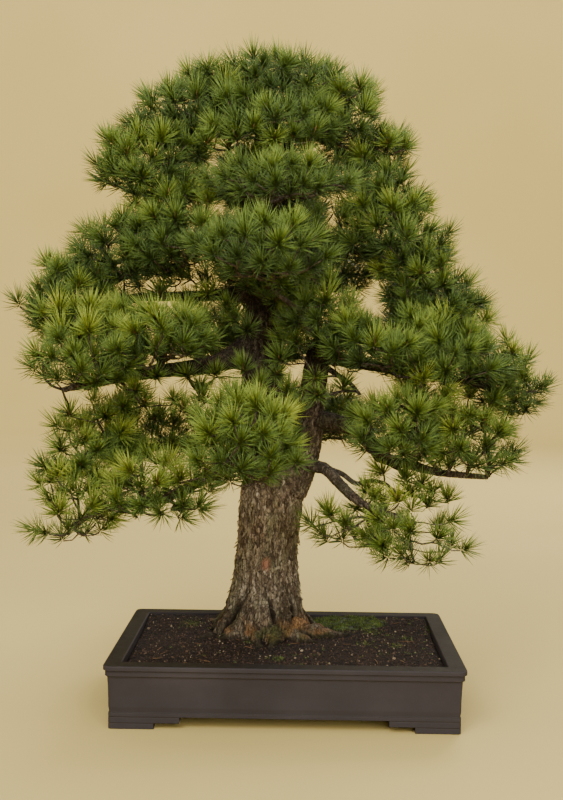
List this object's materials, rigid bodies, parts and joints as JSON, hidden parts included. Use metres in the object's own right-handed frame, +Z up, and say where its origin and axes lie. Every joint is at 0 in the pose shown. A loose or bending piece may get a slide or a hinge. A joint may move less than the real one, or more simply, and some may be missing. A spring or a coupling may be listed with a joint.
{
  "type": "bonsai tree in a pot",
  "caption": "Formal upright pine bonsai with layered pads of needles, flaky bark and surface roots, in a shallow rectangular unglazed clay pot on stepped bracket feet.",
  "frame": {"origin": "on the ground under the middle of the object's box, which is the middle of the pot within a few millimetres", "axes": "+Z up, X along the pot's long side, the tree's front looks towards -Y"},
  "size_m": [0.9013, 0.7011, 1.0922],
  "materials": {
    "clay": "matte",
    "mesh_plastic": "matte",
    "clip_wire": "satin",
    "gravel": "matte",
    "soil": "matte",
    "moss": "matte",
    "bark": "matte",
    "needles": "satin"
  },
  "bodies": {
    "root": {"branch_back_low": "bark", "branch_back_mid": "bark", "branch_back_upper": "bark", "branch_front_low": "bark", "branch_front_mid": "bark", "branch_front_top": "bark", "branch_left_long": "bark", "branch_left_low": "bark", "branch_left_low_back": "bark", "branch_left_mid": "bark", "branch_left_second": "bark", "branch_left_top": "bark", "branch_right_long": "bark", "branch_right_low": "bark", "branch_right_lowest": "bark", "branch_right_top": "bark", "branch_right_upper": "bark", "drain_clip_left": "clip_wire", "drain_clip_right": "clip_wire", "drain_mesh_left": "mesh_plastic", "drain_mesh_right": "mesh_plastic", "drainage_gravel": "gravel", "moss_patch": "moss", "pad_apex": "needles", "pad_fourth_back": "needles", "pad_fourth_left": "needles", "pad_fourth_left_tip": "needles", "pad_fourth_right": "needles", "pad_fourth_right_tip": "needles", "pad_low_front": "needles", "pad_low_left": "needles", "pad_low_left_tip": "needles", "pad_lowest_right": "needles", "pad_lowest_right_tip": "needles", "pad_second_back": "needles", "pad_second_front": "needles", "pad_second_left": "needles", "pad_second_left_inner": "needles", "pad_second_left_tip": "needles", "pad_second_right": "needles", "pad_second_right_tip": "needles", "pad_shoulder_front": "needles", "pad_shoulder_left": "needles", "pad_shoulder_right": "needles", "pad_third_back": "needles", "pad_third_back_right": "needles", "pad_third_front": "needles", "pad_third_left": "needles", "pad_third_left_tip": "needles", "pad_third_right": "needles", "pad_third_right_inner": "needles", "pad_third_right_tip": "needles", "pad_upper_back": "needles", "pad_upper_front": "needles", "pad_upper_left": "needles", "pad_upper_right": "needles", "pot": "clay", "right_leader": "bark", "soil": "soil", "trunk": "bark"}
  },
  "joints": []
}
